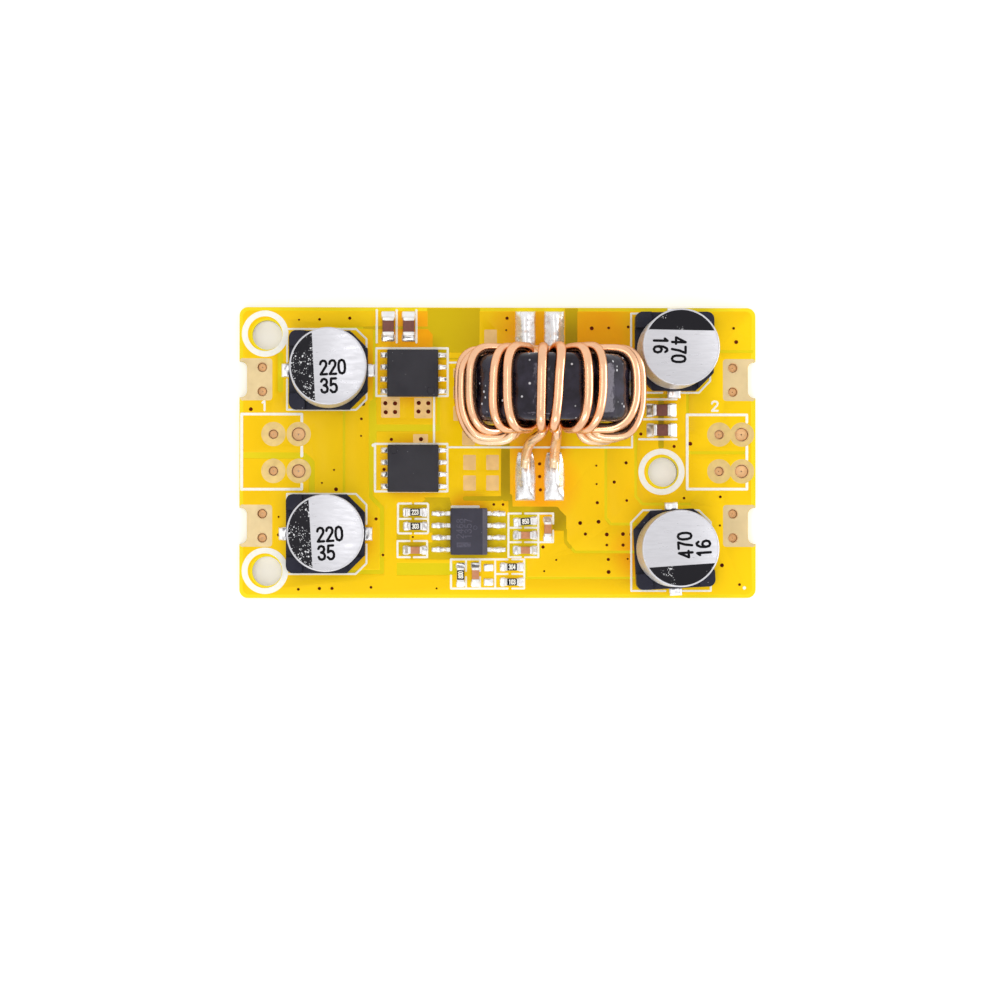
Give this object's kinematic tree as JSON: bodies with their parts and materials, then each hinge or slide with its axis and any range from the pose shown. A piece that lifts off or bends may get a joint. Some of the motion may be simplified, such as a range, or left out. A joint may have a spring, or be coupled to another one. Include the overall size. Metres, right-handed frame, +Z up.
{
  "type": "buck converter module",
  "caption": "Step-down converter board with can capacitors at its ends, a wire-wound ring inductor standing on its rim, power transistors, a controller and chip parts.",
  "frame": {"origin": "middle of the board's underside", "axes": "+X along the board from the input end to the output end, +Y towards the long edge beside the inductor, +Z up to the side that carries the parts"},
  "size_m": [0.0544, 0.0306, 0.0213],
  "materials": {
    "solder_mask": "glossy yellow mask over glass laminate",
    "can_aluminium": "fine satin",
    "base_plastic": "moulded black",
    "tinned_metal": "tin plate",
    "core_coating": "glossy black powder coat",
    "copper_wire": "clear enamelled copper",
    "solder": "bright solder",
    "package_plastic": "moulded dark grey",
    "resistor_cover": "black glaze",
    "ceramic_dark": "sintered ceramic",
    "ceramic_light": "sintered ceramic"
  },
  "bodies": {
    "root": {"ceramic_capacitor_1_block": "ceramic_dark", "ceramic_capacitor_1_end_caps": "tinned_metal", "ceramic_capacitor_2_block": "ceramic_dark", "ceramic_capacitor_2_end_caps": "tinned_metal", "ceramic_capacitor_3_block": "ceramic_dark", "ceramic_capacitor_3_end_caps": "tinned_metal", "ceramic_capacitor_4_block": "ceramic_dark", "ceramic_capacitor_4_end_caps": "tinned_metal", "ceramic_capacitor_5_block": "ceramic_light", "ceramic_capacitor_5_end_caps": "tinned_metal", "ceramic_capacitor_6_block": "ceramic_light", "ceramic_capacitor_6_end_caps": "tinned_metal", "ceramic_capacitor_7_block": "ceramic_light", "ceramic_capacitor_7_end_caps": "tinned_metal", "ceramic_capacitor_8_block": "ceramic_light", "ceramic_capacitor_8_end_caps": "tinned_metal", "ceramic_capacitor_9_block": "ceramic_light", "ceramic_capacitor_9_end_caps": "tinned_metal", "circuit_board": "solder_mask", "controller_body": "package_plastic", "controller_leads": "tinned_metal", "inductor_core": "core_coating", "inductor_solder_joints": "solder", "inductor_winding_a": "copper_wire", "inductor_winding_b": "copper_wire", "input_capacitor_1_base": "base_plastic", "input_capacitor_1_can": "can_aluminium", "input_capacitor_1_tabs": "tinned_metal", "input_capacitor_2_base": "base_plastic", "input_capacitor_2_can": "can_aluminium", "input_capacitor_2_tabs": "tinned_metal", "output_capacitor_1_base": "base_plastic", "output_capacitor_1_can": "can_aluminium", "output_capacitor_1_tabs": "tinned_metal", "output_capacitor_2_base": "base_plastic", "output_capacitor_2_can": "can_aluminium", "output_capacitor_2_tabs": "tinned_metal", "resistor_1_block": "resistor_cover", "resistor_1_end_caps": "tinned_metal", "resistor_2_block": "resistor_cover", "resistor_2_end_caps": "tinned_metal", "resistor_3_block": "resistor_cover", "resistor_3_end_caps": "tinned_metal", "resistor_4_block": "resistor_cover", "resistor_4_end_caps": "tinned_metal", "resistor_5_block": "resistor_cover", "resistor_5_end_caps": "tinned_metal", "resistor_6_block": "resistor_cover", "resistor_6_end_caps": "tinned_metal", "solder_fillets": "solder", "transistor_1_body": "package_plastic", "transistor_1_leads": "tinned_metal", "transistor_2_body": "package_plastic", "transistor_2_leads": "tinned_metal"}
  },
  "joints": []
}
